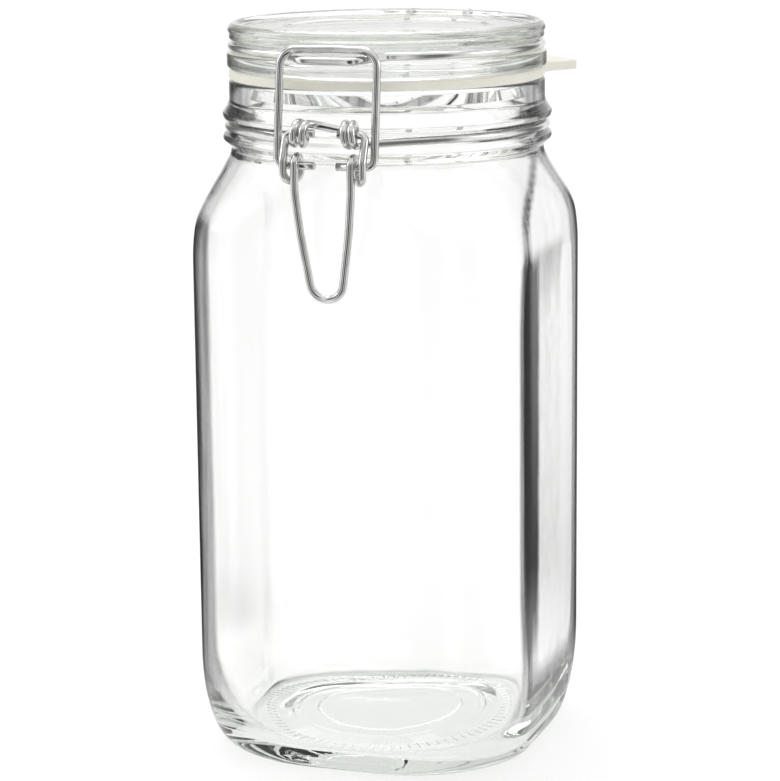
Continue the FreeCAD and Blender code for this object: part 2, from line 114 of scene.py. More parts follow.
def spun(outline: Outline, steps: int, closed: bool = False) -> bmesh.types.BMesh:
    """Turn an outline once round the Z axis.

    Args:
        outline: Points as (radius, height).
        steps: Number of steps round the axis.
        closed: Join the outline's last point to its first.

    Returns:
        A closed skin with its faces pointing outwards.
    """
    skin = bmesh.new()
    verts = [skin.verts.new((across, 0.0, up)) for across, up in outline]
    edges = [skin.edges.new(pair) for pair in zip(verts, verts[1:])]
    if closed:
        edges.append(skin.edges.new((verts[-1], verts[0])))
    bmesh.ops.spin(
        skin, geom=verts + edges, cent=(0, 0, 0), axis=(0, 0, 1), dvec=(0, 0, 0),
        angle=2 * math.pi, steps=steps, use_merge=True, use_normal_flip=False,
        use_duplicate=False)
    bmesh.ops.remove_doubles(skin, verts=skin.verts[:], dist=HAIR)
    bmesh.ops.recalc_face_normals(skin, faces=skin.faces[:])
    return skin


def piece_from(skin: bmesh.types.BMesh, name: str) -> bpy.types.Object:
    """Make a smooth-shaded piece of a finished mesh.

    Args:
        skin: The mesh; it is freed.
        name: The piece's name.

    Returns:
        The new object, at the origin.
    """
    mesh = bpy.data.meshes.new(name)
    skin.to_mesh(mesh)
    skin.free()
    mesh.shade_smooth()
    piece = bpy.data.objects.new(name, mesh)
    bpy.context.scene.collection.objects.link(piece)
    return piece


def report(piece: bpy.types.Object) -> None:
    """Log a piece's name, its number of faces and its size.

    Args:
        piece: The finished piece.
    """
    log.info("%-14s %6d faces, %s mm", piece.name, len(piece.data.polygons),
             " x ".join("%.1f" % (side / MM) for side in piece.dimensions))


# ------------------------------------------------------------------ finishes


class Nodes:
    """A short way to put nodes in a material's, a world's or a group's tree."""

    def __init__(self, tree: bpy.types.NodeTree) -> None:
        """Take the tree to fill."""
        self.tree = tree

    def add(self, kind: str, **values: object) -> bpy.types.Node:
        """Add one node.

        Args:
            kind: The node's type name.
            **values: Properties, or inputs where the name is that of a socket with spaces
                written as underscores.

        Returns:
            The new node.
        """
        node = self.tree.nodes.new(kind)
        for key, value in values.items():
            if hasattr(node, key):
                setattr(node, key, value)
            else:
                self.feed(node, key.replace("_", " "), value)
        return node

    def feed(self, node: bpy.types.Node, socket: str | int, value: object) -> None:
        """Set an input, or join it to another node.

        Args:
            node: The node to feed.
            socket: The input's name or number.
            value: A plain value or another node's output.
        """
        if isinstance(value, Socket):
            self.tree.links.new(value, node.inputs[socket])
        else:
            node.inputs[socket].default_value = value

    def fed(self, kind: str, parts: dict[int, object], **values: object) -> bpy.types.Node:
        """Add a node whose inputs are told apart by number.

        Args:
            kind: The node's type name.
            parts: Values or outputs by input number.
            **values: What add takes.

        Returns:
            The new node.
        """
        node = self.add(kind, **values)
        for socket, part in parts.items():
            self.feed(node, socket, part)
        return node

    def math(self, operation: str, *parts: object) -> Socket:
        """Work one sum through several values.

        Args:
            operation: The Math node's operation.
            *parts: Numbers or outputs, taken from the first to the last.

        Returns:
            The result.
        """
        total = parts[0]
        for part in parts[1:] or (0.0,):
            total = self.fed("ShaderNodeMath", {0: total, 1: part}, operation=operation).outputs[0]
        return total

    def range(self, value: object, low: float, high: float, start: float, end: float) -> Socket:
        """Map a value smoothly from one range to another.

        Args:
            value: A number or an output.
            low: Where the first range starts.
            high: Where it ends.
            start: The result at low and below.
            end: The result at high and above.

        Returns:
            The mapped value.
        """
        parts = dict(enumerate((value, low, high, start, end)))
        return self.fed("ShaderNodeMapRange", parts, interpolation_type="SMOOTHSTEP").outputs[0]

    def mix(self, share: object, first: object, second: object) -> Socket:
        """Mix two colours by a share."""
        return self.fed("ShaderNodeMix", {0: share, 6: first, 7: second},
                        data_type="RGBA").outputs[2]

    def blend(self, share: object, first: object, second: object) -> Socket:
        """Mix two numbers by a share."""
        return self.fed("ShaderNodeMix", {0: share, 2: first, 3: second},
                        data_type="FLOAT").outputs[0]

    def layered(self, share: object, first: bpy.types.Node, second: bpy.types.Node
                ) -> bpy.types.Node:
        """Mix two shaders by a share."""
        return self.fed("ShaderNodeMixShader", {0: share, 1: first.outputs[0],
                                                2: second.outputs[0]})


def new_material(name: str) -> tuple[bpy.types.Material, Nodes]:
    """Make an empty material.

    Args:
        name: The material's name.

    Returns:
        The material and a way to fill its tree.
    """
    material = bpy.data.materials.new(name)
    material.use_nodes = True
    material.node_tree.nodes.clear()
    return material, Nodes(material.node_tree)


def wear_and_shade_marks() -> bpy.types.ShaderNodeTree:
    """Shared noise, a cloudy mask and fine marks: wear on rubber and wire, streaks of painted shade
    on glass.

    Returns:
        A group with inputs Cloud Scale, Mark Scale and Stretch, and outputs Cloud and Marks.
    """
    group = bpy.data.node_groups.get("wear_and_shade_marks")
    if group:
        return group
    group = bpy.data.node_groups.new("wear_and_shade_marks", "ShaderNodeTree")
    for name, value in (("Cloud Scale", 60.0), ("Mark Scale", 900.0), ("Stretch", 6.0)):
        socket = group.interface.new_socket(name, in_out="INPUT", socket_type="NodeSocketFloat")
        socket.default_value = value
    for name in ("Cloud", "Marks"):
        group.interface.new_socket(name, in_out="OUTPUT", socket_type="NodeSocketFloat")
    nodes = Nodes(group)
    source = nodes.add("NodeGroupInput").outputs
    place = nodes.add("ShaderNodeTexCoord").outputs["Object"]
    cloud = nodes.add("ShaderNodeTexNoise", Vector=place, Scale=source["Cloud Scale"], Detail=3.0)
    stretch = nodes.add("ShaderNodeCombineXYZ", X=1.0, Y=1.0, Z=source["Stretch"])
    drawn = nodes.fed("ShaderNodeVectorMath", {0: place, 1: stretch.outputs[0]},
                      operation="MULTIPLY")
    marks = nodes.add("ShaderNodeTexNoise", Vector=drawn.outputs[0],
                      Scale=source["Mark Scale"], Detail=4.0)
    nodes.add("NodeGroupOutput", Cloud=cloud.outputs["Fac"], Marks=marks.outputs["Fac"])
    return group


@dataclass(frozen=True)
class ClearGlass:
    """Pressed soda glass: clear, greyer in the thick, painted dark where it turns light away.

    Facing is 0 where the skin is met square on and 1 where it is skimmed. A near-black shader
    is mixed in as painted shade: seen from within, the skin darkens in two steps of facing;
    seen from outside, it darkens near the outline, and the base colour is painted darker there
    too. The painted shade holds on upright walls, eases off at foot and neck, and is broken by
    painted streaks.
    """

    name: str
    tint: Colour = (0.992, 0.993, 0.990, 1.0)
    # painted shade: the base colour turns dark grey near the outline
    painted_edge_shade: Colour = (0.30, 0.31, 0.30, 1.0)
    painted_edge_power: float = 6.0
    thick_tint: Colour = (0.66, 0.70, 0.65, 1.0)
    thick_density: float = 10.0
    shadow_tint: Colour = (0.95, 0.953, 0.95, 1.0)
    # colour of the painted shade: a near-black shader mixed into the glass
    painted_shade: Colour = (0.012, 0.014, 0.012, 1.0)
    ripple_scale: float = 42.0
    ripple_depth: float = 0.12 * MM
    # how deep the painted shade goes and where it holds
    inner_shade: float = 0.96
    inner_steps: tuple[Ramp, ...] = ((0.230, 0.258, 0.86), (0.275, 0.315, 0.16))
    rim_shade: float = 0.86
    rim_facing: tuple[float, float] = (0.73, 0.84)
    wall_lean: tuple[float, float] = (0.22, 0.50)
    foot_ease: Ramp = (4.0 * MM, 36.0 * MM, 0.15)
    neck_ease: Ramp = (180.0 * MM, 188.0 * MM, 0.72)
    # streaks that break up the painted shade
    shade_streak_scale: float = 320.0
    shade_streak_squash: float = 0.05
    shade_streak_mask: tuple[float, float] = (0.38, 0.60)
    foot_shade_streaks: Ramp = (10.0 * MM, 36.0 * MM, 0.75)
    wall_shade_streaks: float = 0.24
    neck_shade_streaks: Ramp = (180.0 * MM, 187.0 * MM, 0.15)
    most_turns: float = 7.5
    foot_marks: bool = False
    ticks: float = 84.0
    tick_ring: float = 39.5 * MM
    tick_depth: float = 0.18 * MM
    rings: tuple[float, float] = (23.0 * MM, 31.0 * MM)
    ring_depth: float = 0.12 * MM

    def material(self) -> bpy.types.Material:
        """Build the material, with its painted shade, which lets lamps and trapped light through.

        Returns:
            The material.
        """
        material, nodes = new_material(self.name)
        facing = nodes.add("ShaderNodeLayerWeight", Blend=0.5).outputs["Facing"]
        path = nodes.add("ShaderNodeLightPath").outputs
        place = nodes.add("ShaderNodeTexCoord").outputs["Object"]
        # painted shade: the base colour is mixed towards dark grey as the skin is skimmed
        colour = nodes.mix(nodes.math("POWER", facing, self.painted_edge_power), self.tint,
                           self.painted_edge_shade)
        glass = nodes.add("ShaderNodeBsdfPrincipled", Base_Color=colour, Roughness=0.0,
                          IOR=1.5, Transmission_Weight=1.0,
                          Normal=self.relief(nodes, place))
        # painted shade: a near-black shader mixed in by facing, height and streaks
        painted_shade = nodes.add("ShaderNodeBsdfDiffuse", Color=self.painted_shade)
        painted_shade_share = self.painted_shade_share(nodes, place, facing, path["Is Camera Ray"])
        clear = nodes.add("ShaderNodeBsdfTransparent", Color=self.shadow_tint)
        trapped = nodes.math("GREATER_THAN", path["Ray Depth"], self.most_turns)
        passing = nodes.math("MAXIMUM", path["Is Shadow Ray"], path["Is Diffuse Ray"], trapped)
        surface = nodes.layered(passing, nodes.layered(painted_shade_share, glass, painted_shade), clear)
        inside = nodes.add("ShaderNodeVolumeAbsorption", Color=self.thick_tint,
                           Density=self.thick_density)
        nodes.add("ShaderNodeOutputMaterial", Surface=surface.outputs[0],
                  Volume=inside.outputs[0])
        return material

    def relief(self, nodes: Nodes, place: Socket) -> Socket:
        """A faint ripple, and the moulded marks where there are any.

        Args:
            nodes: The material's nodes.
            place: The point on the glass.

        Returns:
            The bumped normal.
        """
        ripple = nodes.add("ShaderNodeTexNoise", Vector=place, Scale=self.ripple_scale,
                           Detail=2.0, Roughness=0.45)
        height = nodes.math("MULTIPLY", ripple.outputs["Fac"], self.ripple_depth)
        if self.foot_marks:
            height = nodes.math("ADD", height, self.foot_height(nodes, place))
        return nodes.add("ShaderNodeBump", Strength=1.0, Distance=1.0,
                         Height=height).outputs[0]

    def painted_shade_share(self, nodes: Nodes, place: Socket, facing: Socket, seen: Socket) -> Socket:
        """How much painted shade the skin gets where it turns light away.

        Args:
            nodes: The material's nodes.
            place: The point on the glass.
            facing: How far the skin is skimmed.
            seen: 1 where the skin is seen straight, 0 in a reflection or through glass.

        Returns:
            Share of the near-black shader that paints the shade.
        """
        skin = nodes.add("ShaderNodeNewGeometry").outputs
        up = nodes.add("ShaderNodeSeparateXYZ", Vector=place).outputs["Z"]
        lean = nodes.add("ShaderNodeSeparateXYZ", Vector=skin["Normal"]).outputs["Z"]
        upright = nodes.math(
            "MULTIPLY", nodes.range(nodes.math("ABSOLUTE", lean), *self.wall_lean, 1.0, 0.0),
            nodes.range(up, *self.foot_ease, 1.0), nodes.range(up, *self.neck_ease[:2], 1.0,
                                                               self.neck_ease[2]))
        # painted shade streaks from the shared noise
        wear_and_shade = nodes.add("ShaderNodeGroup", node_tree=wear_and_shade_marks(),
                         Mark_Scale=self.shade_streak_scale, Stretch=self.shade_streak_squash)
        depth = nodes.math(
            "ADD", nodes.range(up, *self.foot_shade_streaks, self.wall_shade_streaks),
            nodes.range(up, *self.neck_shade_streaks[:2], 0.0, self.neck_shade_streaks[2]))
        marks = nodes.range(wear_and_shade.outputs["Marks"], *self.shade_streak_mask, 0.0, 1.0)
        shade_streaks = nodes.math("SUBTRACT", 1.0, nodes.math("MULTIPLY", marks, depth))
        steps = [nodes.range(facing, low, high, 0.0, self.inner_shade * share)
                 for low, high, share in self.inner_steps]
        within = nodes.math("MULTIPLY", nodes.math("ADD", *steps), upright, shade_streaks)
        rim = nodes.range(facing, *self.rim_facing, 0.0, self.rim_shade)
        return nodes.blend(skin["Backfacing"], nodes.math("MULTIPLY", seen, rim, upright), within)

    def foot_height(self, nodes: Nodes, place: Socket) -> Socket:
        """Moulded marks under the foot: a ring of short ticks and two plain rings.

        Args:
            nodes: The material's nodes.
            place: The point on the jar.

        Returns:
            Height of the marks, in metres.
        """
        split = nodes.add("ShaderNodeSeparateXYZ", Vector=place).outputs
        squares = [nodes.math("MULTIPLY", split[axis], split[axis]) for axis in "XY"]
        reach = nodes.math("SQRT", nodes.math("ADD", *squares))
        turn = nodes.math("ARCTAN2", split["Y"], split["X"])
        wave = nodes.math("SINE", nodes.math("MULTIPLY", turn, self.ticks))
        from_ring = nodes.math("ABSOLUTE", nodes.math("SUBTRACT", reach, self.tick_ring))
        marks = nodes.math("MULTIPLY", nodes.range(wave, 0.1, 0.9, 0.0, self.tick_depth),
                           nodes.range(from_ring, 1.6 * MM, 2.4 * MM, 1.0, 0.0))
        for radius in self.rings:
            away = nodes.math("ABSOLUTE", nodes.math("SUBTRACT", reach, radius))
            marks = nodes.math("ADD", marks, nodes.range(away, 0.0, 0.8 * MM, self.ring_depth, 0.0))
        low = nodes.range(split["Z"], 2.4 * MM, 3.2 * MM, 1.0, 0.0)
        return nodes.math("MULTIPLY", marks, low)


@dataclass(frozen=True)
class PlatedWire:
    """Bright plated steel wire with faint drawing marks."""

    name: str = "plated_wire"
    bright: Colour = (0.72, 0.72, 0.715, 1.0)
    dull: Colour = (0.57, 0.57, 0.56, 1.0)
    smooth: float = 0.11
    rough: float = 0.23

    def material(self) -> bpy.types.Material:
        """Build the material.

        Returns:
            The material.
        """
        material, nodes = new_material(self.name)
        wear_and_shade = nodes.add("ShaderNodeGroup", node_tree=wear_and_shade_marks(), Cloud_Scale=140.0,
                         Mark_Scale=1500.0)
        cloud = nodes.range(wear_and_shade.outputs["Cloud"], 0.35, 0.70, 0.0, 1.0)
        colour = nodes.mix(cloud, self.bright, self.dull)
        roughness = nodes.range(wear_and_shade.outputs["Cloud"], 0.30, 0.75, self.smooth, self.rough)
        bump = nodes.add("ShaderNodeBump", Strength=0.25, Distance=0.03 * MM,
                         Height=wear_and_shade.outputs["Marks"])
        steel = nodes.add("ShaderNodeBsdfPrincipled", Base_Color=colour, Metallic=1.0,
                          Roughness=roughness, Normal=bump.outputs[0])
        nodes.add("ShaderNodeOutputMaterial", Surface=steel.outputs[0])
        return material


@dataclass(frozen=True)
class PaleRubber:
    """Cream rubber, slightly translucent, with a matt moulded skin."""

    name: str = "pale_rubber"
    fresh: Colour = (0.88, 0.87, 0.78, 1.0)
    aged: Colour = (0.84, 0.82, 0.72, 1.0)

    def material(self) -> bpy.types.Material:
        """Build the material.

        Returns:
            The material.
        """
        material, nodes = new_material(self.name)
        wear_and_shade = nodes.add("ShaderNodeGroup", node_tree=wear_and_shade_marks(), Cloud_Scale=90.0,
                         Stretch=1.0)
        cloud = nodes.range(wear_and_shade.outputs["Cloud"], 0.30, 0.72, 0.0, 1.0)
        colour = nodes.mix(cloud, self.fresh, self.aged)
        roughness = nodes.range(wear_and_shade.outputs["Marks"], 0.2, 0.8, 0.42, 0.62)
        bump = nodes.add("ShaderNodeBump", Strength=0.4, Distance=0.05 * MM,
                         Height=wear_and_shade.outputs["Marks"])
        rubber = nodes.add("ShaderNodeBsdfPrincipled", Base_Color=colour, Roughness=roughness,
                           Subsurface_Weight=0.15, Subsurface_Scale=2 * MM,
                           Subsurface_Radius=(1.0, 1.0, 0.8),
                           Normal=bump.outputs[0])
        nodes.add("ShaderNodeOutputMaterial", Surface=rubber.outputs[0])
        return material


# ------------------------------------------------------------------ glass body


@dataclass
class GlassBody:
    """The square jar with its shoulder, ribbed neck and rim."""

    finish: ClearGlass
    half: float = 52.4 * MM
    corner: float = 28.2 * MM
    wall: float = 3.4 * MM
    corner_thickening: float = 1.0 * MM
    swell: float = 0.90 * MM
    swell_foot: float = 29.5 * MM
    swell_top: float = 13.0 * MM
    swell_low: float = 25.4 * MM
    swell_rise: float = 25.0 * MM
    swell_high: float = 156.0 * MM
    swell_fall: float = 14.0 * MM
    floor: float = 5.4 * MM
    heel_height: float = 30.0 * MM
    heel_inset: float = 5.4 * MM
    foot_corner: float = 37.4 * MM
    inner_heel: float = 34.0 * MM
    inner_heel_inset: float = 7.0 * MM
    inner_foot_corner: float = 34.0 * MM
    punt_radius: float = 33.0 * MM
    punt_depth: float = 1.6 * MM
    round_foot: float = 39.0 * MM
    round_fade: float = 8.0 * MM
    round_neck: float = 181.5 * MM
    shoulder_foot: float = 152.0 * MM
    shoulder_top: float = 184.5 * MM
    corner_fade: float = 0.7
    neck_radius: float = 47.2 * MM
    collar_radius: float = 47.8 * MM
    mouth_radius: float = 42.5 * MM
    rim_height: float = 205.3 * MM
    rib_radius: float = 49.5 * MM
    wire_height: float = 191.1 * MM
    groove_radius: float = 46.9 * MM
    rib_spread: float = 3.3 * MM
    steps: int = 144

    def shoulder_half(self, height: float) -> float:
        """Half width of the outside between the straight sides and the neck.

        Args:
            height: Height above the floor.

        Returns:
            The half width.
        """
        share = (height - self.shoulder_foot) / (self.shoulder_top - self.shoulder_foot)
        share = clamped(share)
        return self.neck_radius + (self.half - self.neck_radius) * math.cos(share * math.pi / 2)

    def outer(self, height: float) -> tuple[float, float]:
        """Size of the outside at a height.

        Args:
            height: Height above the floor.

        Returns:
            Half width and corner radius.
        """
        if height < self.heel_height:
            swing = drawn_in(height / self.heel_height)
            return (self.half - self.heel_inset * swing,
                    self.corner + (self.foot_corner - self.corner) * swing)
        if height <= self.shoulder_foot:
            return self.half, self.corner
        half = self.shoulder_half(height)
        share = (height - self.shoulder_foot) / (self.shoulder_top - self.shoulder_foot)
        blend = clamped((1.0 - share) / self.corner_fade)
        ease = 3 * blend ** 2 - 2 * blend ** 3
        return half, self.neck_radius + (self.corner - self.neck_radius) * ease

    def inner(self, height: float) -> tuple[float, float]:
        """Size of the inside at a height.

        Args:
            height: Height above the floor.

        Returns:
            Half width and corner radius.
        """
        half, corner = self.outer(max(height, self.heel_height))
        swing = drawn_in((height - self.floor) / (self.inner_heel - self.floor))
        corner = min(corner - self.wall + self.corner_thickening, half - self.wall)
        return (half - self.wall - self.inner_heel_inset * swing,
                corner + (self.inner_foot_corner - corner) * swing)

    def heel_heights(self, low: float, high: float, count: int = 16) -> list[float]:
        """Heights that follow the heel's curve, closer together near its foot."""
        return [low + (high - low) * (1.0 - math.cos(part / count * math.pi / 2))
                for part in range(count + 1)]

    def side_heights(self, low: float, count: int = 12) -> list[float]:
        """Evenly spaced heights between the heel and the shoulder, both ends left out."""
        return [low + (self.shoulder_foot - low) * part / count for part in range(1, count)]

    def shoulder_heights(self, count: int = 16) -> list[float]:
        """Evenly spaced heights over the shoulder, both ends left out."""
        rise = self.shoulder_top - self.shoulder_foot
        return [self.shoulder_foot + rise * part / count for part in range(1, count)]

    def outside(self) -> Outline:
        """Half section of the outside.

        Returns:
            Points from the base's centre to the rim.
        """
        line = filleted([
            (0.0, self.punt_depth, 0.0),
            (self.punt_radius - 4 * MM, self.punt_depth, 5 * MM),
            (self.punt_radius + 2 * MM, 0.0, 5 * MM),
            (self.half - self.heel_inset - 1.5 * MM, 0.0, 0.0),
        ])
        heights = (self.heel_heights(0.25 * MM, self.heel_height)
                   + self.side_heights(self.heel_height) + [self.shoulder_foot]
                   + self.shoulder_heights())
        line += [(self.outer(height)[0], height) for height in heights]
        low = self.wire_height - self.rib_spread
        high = self.wire_height + self.rib_spread
        neck = filleted([
            (self.outer(self.shoulder_top - 2 * MM)[0], self.shoulder_top - 2 * MM, 0.0),
            (self.neck_radius, low - 3.0 * MM, 2.0 * MM),
            (self.rib_radius + 0.5 * MM, low - 0.6 * MM, 1.2 * MM),
            (self.rib_radius + 0.1 * MM, low + 0.9 * MM, 0.7 * MM),
            (self.groove_radius, self.wire_height - 0.9 * MM, 1.0 * MM),
            (self.groove_radius, self.wire_height + 0.9 * MM, 1.0 * MM),
            (self.rib_radius + 0.1 * MM, high - 0.9 * MM, 0.7 * MM),
            (self.rib_radius + 0.5 * MM, high + 0.6 * MM, 1.2 * MM),
            (self.collar_radius, high + 4.0 * MM, 3.0 * MM),
            (self.collar_radius, self.rim_height, 1.3 * MM),
            (self.mouth_radius + 1.5 * MM, self.rim_height, 0.0),
        ])
        return line + neck

    def inside(self) -> Outline:
        """Half section of the inside.

        Returns:
            Points from the rim down to the floor's centre.
        """
        line = filleted([
            (self.mouth_radius + 1.5 * MM, self.rim_height, 0.0),
            (self.mouth_radius, self.rim_height, 1.4 * MM),
            (self.mouth_radius, self.rim_height - 5.0 * MM, 3.0 * MM),
            (self.mouth_radius + 0.8 * MM, self.wire_height + 2.5 * MM, 3.0 * MM),
            (self.mouth_radius + 0.3 * MM, self.shoulder_top + 1.0 * MM, 3.0 * MM),
            (self.inner(self.shoulder_top - 2 * MM)[0], self.shoulder_top - 2 * MM, 0.0),
        ])[1:]
        line += [(self.inner(height)[0], height) for height in reversed(self.shoulder_heights())]
        line.append((self.inner(self.shoulder_foot)[0], self.shoulder_foot))
        heights = self.side_heights(self.inner_heel)[::-1]
        heights += self.heel_heights(self.floor + 0.15 * MM, self.inner_heel)[::-1]
        line += [(self.inner(height)[0], height) for height in heights]
        half = self.inner(self.floor)[0]
        line += [(half - 3 * MM, self.floor - 0.1 * MM), (half - 12 * MM, self.floor - 0.5 * MM),
                 (0.0, self.floor - 0.9 * MM)]
        return line

    def squared(self, point: Vector, outside: bool) -> Vector:
        """Move a point of the round skin to the rounded square at its height.

        Args:
            point: The point on the spun skin.
            outside: True on the outer skin, False on the inner one.

        Returns:
            The moved point.
        """
        reach = math.hypot(point.x, point.y)
        if reach < HAIR:
            return point
        half, corner = self.outer(point.z) if outside else self.inner(point.z)
        corner = min(max(corner - (half - reach), 0.0), reach)
        round_share = clamped((self.round_foot - reach) / self.round_fade)
        corner += (reach - corner) * round_share
        if point.z > self.round_neck:
            corner = reach
        angle = math.atan2(point.y, point.x)
        fold = abs((angle + math.pi / 4) % (math.pi / 2) - math.pi / 4)
        flat = reach - corner
        if reach * math.tan(fold) <= flat:
            scale = 1.0 / math.cos(fold)
        else:
            along = flat * (math.cos(fold) + math.sin(fold))
            scale = (along + math.sqrt(max(along ** 2 - 2 * flat ** 2 + corner ** 2, 0.0))
                     ) / reach
        moved = Vector((point.x * scale, point.y * scale, point.z))
        return moved if outside else self.swollen(moved)

    def swollen(self, point: Vector) -> Vector:
        """Draw the inside in a little beside the middle of each side, where glass is thicker.

        Args:
            point: A point of the squared inner skin.

        Returns:
            The moved point.
        """
        long_way, short_way = max(abs(point.x), abs(point.y)), min(abs(point.x), abs(point.y))
        side = (self.swell_foot - short_way) / (self.swell_foot - self.swell_top)
        foot = (point.z - self.swell_low) / self.swell_rise
        top = (self.swell_high - point.z) / self.swell_fall
        share = math.prod(clamped(part) for part in (side, foot, top))
        scale = (long_way - self.swell * share) / max(long_way, HAIR)
        if abs(point.x) > abs(point.y):
            return Vector((point.x * scale, point.y, point.z))
        return Vector((point.x, point.y * scale, point.z))

    def build(self) -> bpy.types.Object:
        """Spin the section, square it below the neck and dress it in glass.

        Returns:
            The jar without its lid and wires.
        """
        outside = self.outside()
        rim = len(outside)
        line = outside + self.inside()
        skin = spun(line, self.steps)
        walls = {(round(across, 6), round(up, 6)): index < rim
                 for index, (across, up) in enumerate(line)}
        for vert in skin.verts:
            key = (round(math.hypot(vert.co.x, vert.co.y), 6), round(vert.co.z, 6))
            vert.co = self.squared(vert.co, walls.get(key, self.is_outside(vert.co)))
        piece = piece_from(skin, "jar_glass")
        piece.data.materials.append(self.finish.material())
        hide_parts("jar_body")
        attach(piece, "jar")
        return piece

    def is_outside(self, point: Vector) -> bool:
        """Tell on which skin a point of the spun jar lies.

        Args:
            point: The point.

        Returns:
            True where it is nearer to the outside than to the inside.
        """
        reach = math.hypot(point.x, point.y)
        if point.z < self.floor - 1.5 * MM:
            return True
        return reach > (self.outer(point.z)[0] + self.inner(point.z)[0]) / 2


# ------------------------------------------------------------------ glass lid


@dataclass
class GlassLid:
    """The round lid: plug, flange, groove for its wire, crest and dished top."""

    finish: ClearGlass
    seat: float = 208.1 * MM
    top: float = 222.0 * MM
    flange_radius: float = 48.3 * MM
    boss_radius: float = 41.5 * MM
    boss_inner: float = 38.3 * MM
    boss_depth: float = 3.6 * MM
    ring_height: float = 215.2 * MM
    groove_radius: float = 45.6 * MM
    lid_radius: float = 48.0 * MM
    dish_radius: float = 43.8 * MM
    dish_depth: float = 1.4 * MM
    disc_radius: float = 30.5 * MM
    disc_depth: float = 0.7 * MM
    ceiling: float = 214.1 * MM
    steps: int = 144

    def section(self) -> Outline:
        """Half section of the lid.

        Returns:
            Points from the ceiling's centre round to the top's centre.
        """
        floor = self.top - self.dish_depth
        return filleted([
            (0.0, self.ceiling, 0.0),
            (self.boss_inner - 2.0 * MM, self.ceiling, 7.0 * MM),
            (self.boss_inner, self.seat - self.boss_depth, 1.2 * MM),
            (self.boss_radius, self.seat - self.boss_depth, 1.2 * MM),
            (self.boss_radius, self.seat, 0.8 * MM),
            (self.flange_radius, self.seat, 1.6 * MM),
            (self.flange_radius, self.ring_height - 1.9 * MM, 1.1 * MM),
            (self.groove_radius, self.ring_height - 1.3 * MM, 1.2 * MM),
            (self.groove_radius, self.ring_height + 1.3 * MM, 1.2 * MM),
            (self.lid_radius - 0.4 * MM, self.ring_height + 1.9 * MM, 1.0 * MM),
            (self.lid_radius - 0.5 * MM, self.ring_height + 3.5 * MM, 1.5 * MM),
            (self.lid_radius, self.ring_height + 4.7 * MM, 1.0 * MM),
            (self.lid_radius - 0.8 * MM, self.top + 0.1 * MM, 2.0 * MM),
            (self.dish_radius + 1.4 * MM, self.top + 0.1 * MM, 1.0 * MM),
            (self.dish_radius - 0.4 * MM, floor, 1.5 * MM),
            (self.disc_radius + 0.8 * MM, floor, 0.5 * MM),
            (self.disc_radius, floor - self.disc_depth, 0.5 * MM),
            (0.0, floor - self.disc_depth, 0.0),
        ], step=12.0)

    def build(self) -> bpy.types.Object:
        """Spin the lid and dress it in glass.

        Returns:
            The lid.
        """
        piece = piece_from(spun(self.section(), self.steps), "lid_glass")
        piece.data.materials.append(self.finish.material())
        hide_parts("lid")
        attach(piece, "jar")
        return piece


# ------------------------------------------------------------------ rubber ring


@dataclass
class RubberRing:
    """The flat ring between rim and lid, with its pull tab."""

    finish: PaleRubber
    low: float = 205.3 * MM
    high: float = 208.1 * MM
    inner_radius: float = 41.9 * MM
    outer_radius: float = 47.7 * MM
    tab_reach: float = 60.4 * MM
    tab_tip: float = 10.5 * MM
    tab_root: float = 16.0 * MM
    tab_angle: float = 43.0
    tab_lap: float = 4.5 * MM
    sharp: float = 1.2
    bulge: float = 0.15 * MM
    edge: float = 0.5 * MM
    steps: int = 144

    def ring(self) -> bpy.types.Object:
        """The ring itself, its outer edge pressed out a little.

        Returns:
            The bare piece.
        """
        middle = (self.inner_radius + self.outer_radius) / 2
        skin = spun(filleted([
            (middle, self.low, 0.0),
            (self.outer_radius, self.low, self.edge),
            (self.outer_radius + self.bulge, (self.low + self.high) / 2, 2.0 * MM),
            (self.outer_radius, self.high, self.edge),
            (self.inner_radius, self.high, self.edge),
            (self.inner_radius, self.low, self.edge),
            (middle - 0.1 * MM, self.low, 0.0),
        ]), self.steps, closed=True)
        return piece_from(skin, "rubber_ring")

    def tab(self) -> bpy.types.Object:
        """The pull tab: a flat tongue whose root spreads into the ring.

        Returns:
            The bare piece.
        """
        skin = bmesh.new()
        root = self.outer_radius - self.tab_lap
        half = [(root, self.tab_root), (self.outer_radius - 1.5 * MM, self.tab_root - 1.6 * MM),
                (self.outer_radius + 3 * MM, self.tab_tip + 1.1 * MM),
                (self.tab_reach, self.tab_tip)]
        around = half + [(x, -y) for x, y in reversed(half)]
        face = skin.faces.new([skin.verts.new((x, y, self.low)) for x, y in around])
        tips = [vert for vert in face.verts if vert.co.x > self.tab_reach - MM]
        bmesh.ops.bevel(skin, geom=tips, offset=3 * MM, segments=5, affect="VERTICES",
                        profile=0.5, material=-1)
        raised = bmesh.ops.extrude_face_region(skin, geom=skin.faces[:])["geom"]
        lift = [part for part in raised if isinstance(part, bmesh.types.BMVert)]
        bmesh.ops.translate(skin, verts=lift, vec=(0, 0, self.high - self.low))
        bmesh.ops.recalc_face_normals(skin, faces=skin.faces[:])
        rims = [edge for edge in skin.edges
                if len(edge.link_faces) == 2 and edge.calc_face_angle(0) > self.sharp
                and abs(edge.verts[0].co.z - edge.verts[1].co.z) < HAIR]
        bmesh.ops.bevel(skin, geom=rims, offset=self.edge, segments=3, affect="EDGES",
                        profile=0.5, material=-1)
        bmesh.ops.rotate(skin, verts=skin.verts[:], cent=(0, 0, 0),
                         matrix=Matrix.Rotation(math.radians(self.tab_angle), 3, "Z"))
        return piece_from(skin, "pull_tab")

    def build(self) -> list[bpy.types.Object]:
        """Make ring and tab and dress them in rubber.

        Returns:
            The two pieces.
        """
        rubber = self.finish.material()
        made = [self.ring(), self.tab()]
        for piece in made:
            piece.data.materials.append(rubber)
            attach(piece, "jar")
        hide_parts("gasket")
        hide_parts("gasket")
        return made


# ------------------------------------------------------------------ wire clip


